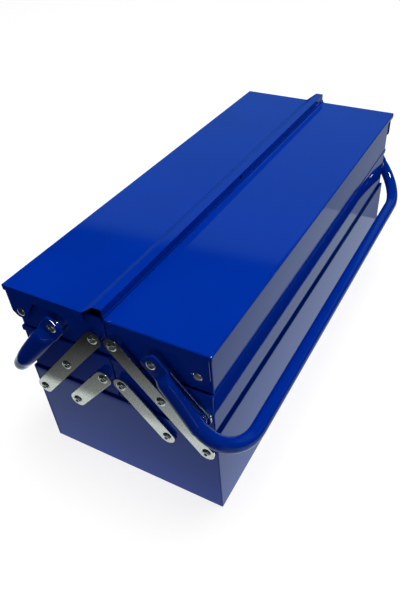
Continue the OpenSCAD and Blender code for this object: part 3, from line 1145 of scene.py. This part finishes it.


# The table's glow as the object's gloss and light see it, in metres and shares of full light
TABLE_SIZE = 24
NEAR_EDGE = (-0.338, -0.332)  # the light part begins here
FAR_EDGE = (0.3495, 0.3505)  # a dimmer part begins here
FAR_TONE = (-0.20, -0.14, 0.68, 0.46)  # over Y
LENGTHWISE = (-0.26, 0.35, 0.86, 0.76)  # over X
BESIDE_NEAR_END = (-0.262, -0.258, 0.74, 1)  # over X
TABLE_ENDS = (
    ("X", 0.95, 0.97, 1, 0.05),
    ("Y", 0.50, 0.52, 1, 0.05),
    ("Y", -0.47, -0.45, 0.05, 1),
)
DARK_ACROSS = (-0.06, 0.20, 0.47, 0.08)  # over Y, before the near edge
DARK_AWAY = (-0.415, -0.34, 0.12, 1)  # over X, before the near edge
TABLE_TINT = (0.85, 1.0, 1.03)
CAMERA_GLOW = 0.80
CAMERA_GREY = (0.28, 0.28, 0.28, 1)  # diffuse part, which takes the shadow


def floor():
    """Table top that glows: even white to the camera, and a glow with darker ends that lights
    everything else and shows in its gloss.
    """
    only()
    bpy.ops.mesh.primitive_plane_add(size=TABLE_SIZE, location=(0, 0, 0))
    obj = settle("table_top")
    material = bpy.data.materials.new("table_top")
    material.use_nodes = True
    tree = material.node_tree
    tree.nodes.clear()
    place = separate(tree, node(tree, "TexCoord").outputs["Object"])
    far_part = remap(tree, place["X"], *FAR_EDGE, 0, 1)
    far_tone = remap(tree, place["Y"], *FAR_TONE)
    light_part = blend(tree, far_part, 1.0, far_tone, "FLOAT")
    shares = [("X", *LENGTHWISE), ("X", *BESIDE_NEAR_END), *TABLE_ENDS]
    for axis, *values in shares:
        share = remap(tree, place[axis], *values)
        light_part = arithmetic(tree, "MULTIPLY", light_part, share)
    dark_across = remap(tree, place["Y"], *DARK_ACROSS)
    dark_away = remap(tree, place["X"], *DARK_AWAY)
    dark_part = arithmetic(tree, "MULTIPLY", dark_across, dark_away)
    near_edge = remap(tree, place["X"], *NEAR_EDGE, 0, 1)
    level = blend(tree, near_edge, dark_part, light_part, "FLOAT")
    # Glow that everything but the camera sees: it lights the object and shows in its gloss
    seen_by_object = node(tree, "Emission", blend(tree, level, BLACK, TABLE_TINT))
    white = node(tree, "Emission", Strength=CAMERA_GLOW)
    matt = node(tree, "BsdfDiffuse", CAMERA_GREY)
    seen_by_camera = node(tree, "AddShader", white.outputs["Emission"], matt.outputs["BSDF"])
    shader = choice(
        tree,
        node(tree, "LightPath").outputs["Is Camera Ray"],
        seen_by_object.outputs["Emission"],
        seen_by_camera.outputs["Shader"],
    )
    node(tree, "OutputMaterial", shader)
    obj.data.materials.append(material)


# The pale panel in the gloss: the normal of its edge, the height of its fade and its tones
PANEL_NORMAL = (0.607, 0.058, -0.793)
PANEL_EDGE = (-0.015, 0.015)
PANEL_FADE = (0.19, 0.28)
PANEL_TONE = (0.35, 0.60, 0.33, 0.50)
GLOSS_FLOOR = 0.02
GLOSS_TINT = (0.45, 1, 1, 1)
ROOM_TONE = (0.0, 1.0, 0.12, 0.45)
WHITE = (1, 1, 1, 1)


def studio_world(scene):
    """White behind the object, a soft dim room for its light and one pale panel in its gloss."""
    world = bpy.data.worlds.new("studio")
    scene.world = world
    world.use_nodes = True
    tree = world.node_tree
    tree.nodes.clear()
    direction = node(tree, "TexCoord").outputs["Generated"]
    height = separate(tree, direction)["Z"]
    dot = node(tree, "VectorMath", direction, PANEL_NORMAL)
    dot.operation = "DOT_PRODUCT"
    panel = remap(tree, dot.outputs["Value"], *PANEL_EDGE, 0, 1, smooth_step=True)
    panel = arithmetic(tree, "MULTIPLY", panel, remap(tree, height, *PANEL_TONE))
    fade = remap(tree, height, *PANEL_FADE, 0, 1, smooth_step=True)
    panel = arithmetic(tree, "MULTIPLY", panel, fade)

    def background(tint, strength=1.0):
        return node(tree, "Background", tint, strength).outputs["Background"]

    room = background(WHITE, remap(tree, height, *ROOM_TONE))
    gloss = background(GLOSS_TINT, arithmetic(tree, "ADD", panel, GLOSS_FLOOR))
    paths = node(tree, "LightPath").outputs
    unseen = choice(tree, paths["Is Glossy Ray"], room, gloss)
    node(tree, "OutputWorld", choice(tree, paths["Is Camera Ray"], unseen, background(WHITE)))


# Area lamps: place, what they aim at, width, height, power, and seen in gloss or diffuse light
LAMPS = {
    "overhead": ((0.4, -0.5, 3.0), (0, 0, 0.1), 2.0, 2.0, 70, False, True),
    "near_fill": ((-2.2, -0.5, 0.7), (-0.26, 0, 0.1), 1.0, 1.0, 2.4, False, True),
    "sparkle": ((-0.35, -1.4, 2.2), (0.26, -0.12, 0.13), 0.6, 0.6, 110, True, False),
    "low_strip": ((-2.4, -0.6, 0.30), (-0.26, 0, 0.15), 2.2, 0.22, 1.6, True, False),
}


def lamps(scene):
    """Sets up every area lamp."""
    for name, (place, aim, width, height, power, in_gloss, in_diffuse) in LAMPS.items():
        data = bpy.data.lights.new(name, "AREA")
        data.shape = "RECTANGLE"
        data.size = width
        data.size_y = height
        data.energy = power
        obj = bpy.data.objects.new(name, data)
        scene.collection.objects.link(obj)
        obj.location = place
        obj.rotation_euler = (Vector(aim) - Vector(place)).to_track_quat("-Z", "Y").to_euler()
        obj.visible_glossy = in_gloss
        obj.visible_diffuse = in_diffuse


CAMERA_PLACE = (-0.53556, -0.28406, 0.55079)
CAMERA_RIGHT = (0.4572, -0.8887, -0.0339)
CAMERA_DOWN = (-0.5982, -0.2791, -0.7512)
CAMERA_AHEAD = (0.6581, 0.3636, -0.6593)


def camera(scene):
    """Camera above the near left end, looking down the length."""
    data = bpy.data.cameras.new("camera")
    data.sensor_width = 36
    data.lens = 34.43
    data.shift_x = -0.0563
    data.shift_y = 0.0249
    obj = bpy.data.objects.new("camera", data)
    scene.collection.objects.link(obj)
    axes = (Vector(CAMERA_RIGHT), -Vector(CAMERA_DOWN), -Vector(CAMERA_AHEAD))
    turn = Matrix(axes).transposed().to_4x4()
    obj.matrix_world = Matrix.Translation(CAMERA_PLACE) @ turn
    scene.camera = obj


STEPS = (
    TOOLBOX_OT_base,
    TOOLBOX_OT_trays,
    TOOLBOX_OT_dividers,
    TOOLBOX_OT_lids,
    TOOLBOX_OT_links,
    TOOLBOX_OT_rivets,
    TOOLBOX_OT_rings,
    TOOLBOX_OT_handles,
    TOOLBOX_OT_stage,
)


class TOOLBOX_PT_panel(bpy.types.Panel):
    """Lists the steps and the settings"""

    bl_idname = "TOOLBOX_PT_panel"
    bl_label = "Tool box"
    bl_space_type = "VIEW_3D"
    bl_region_type = "UI"
    bl_category = "Tool box"

    def draw(self, context):
        settings = context.scene.tool_box
        for step in STEPS:
            self.layout.operator(step.bl_idname)
        for group in (settings.sheet, settings.lid, settings.hardware, settings.finish):
            column = self.layout.column()
            for name in group.__annotations__:
                column.prop(group, name)


CLASSES = (
    ToolBoxSheet,
    ToolBoxLid,
    ToolBoxHardware,
    ToolBoxFinish,
    ToolBoxSettings,
    *STEPS,
    TOOLBOX_PT_panel,
)


def register():
    for cls in CLASSES:
        bpy.utils.register_class(cls)
    bpy.types.Scene.tool_box = PointerProperty(type=ToolBoxSettings)


def unregister():
    del bpy.types.Scene.tool_box
    for cls in reversed(CLASSES):
        bpy.utils.unregister_class(cls)


def main():
    register()
    for step in STEPS:
        group, name = step.bl_idname.split(".")
        getattr(getattr(bpy.ops, group), name)()
    only()


if __name__ == "__main__":
    main()
